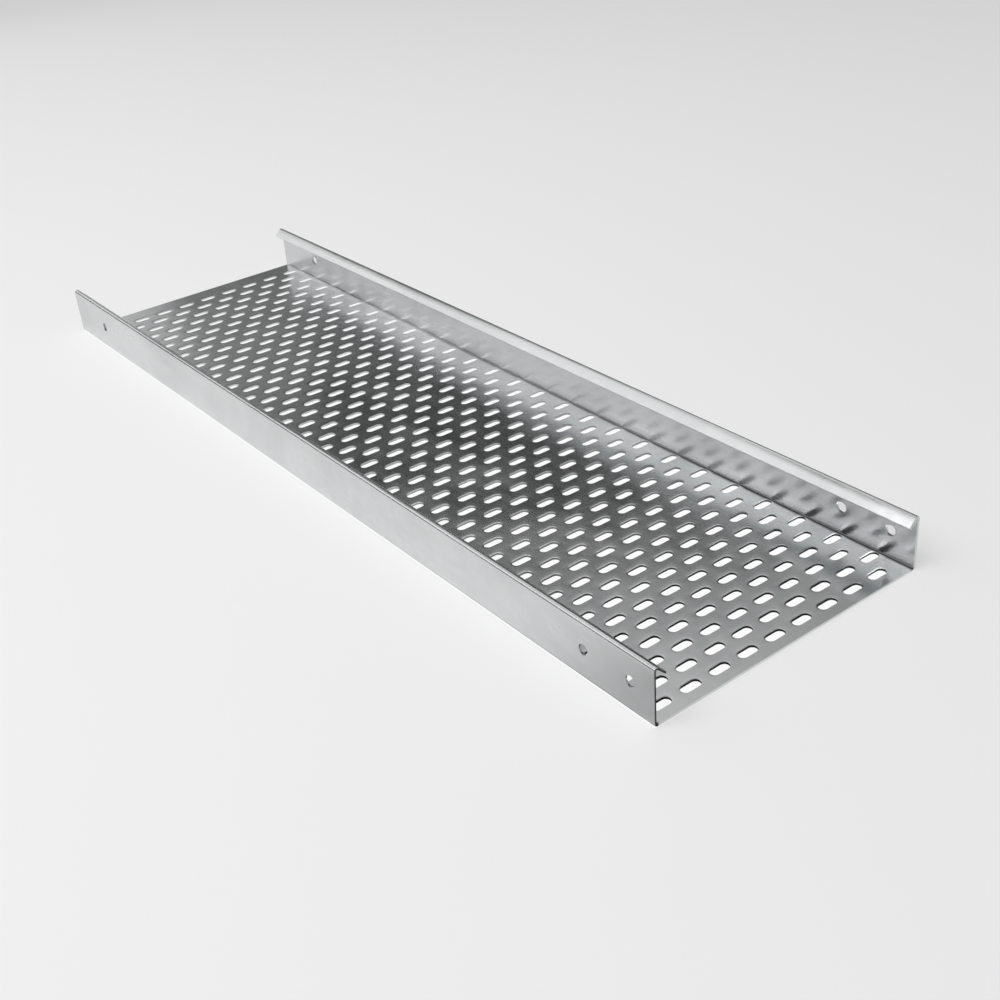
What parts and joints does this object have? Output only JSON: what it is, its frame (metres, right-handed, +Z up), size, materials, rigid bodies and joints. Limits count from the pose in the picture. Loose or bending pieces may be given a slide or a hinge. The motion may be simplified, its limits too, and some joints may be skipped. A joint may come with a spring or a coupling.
{
  "type": "perforated cable tray",
  "caption": "Open-top cable tray folded from one steel sheet: slotted floor, upright walls with inward-sloping lips, and bolt holes near the wall ends.",
  "frame": {"origin": "under the middle of the floor, on the plane that the tray lies on", "axes": "+X along the tray towards the end with a pair of holes in each wall, +Y across it towards the wall that the slots come nearest to, +Z up out of the open top"},
  "size_m": [1.044, 0.3, 0.054],
  "materials": {
    "sheet": "satin bright galvanised sheet, faintly clouded"
  },
  "bodies": {
    "root": {"tray": "sheet"}
  },
  "joints": []
}
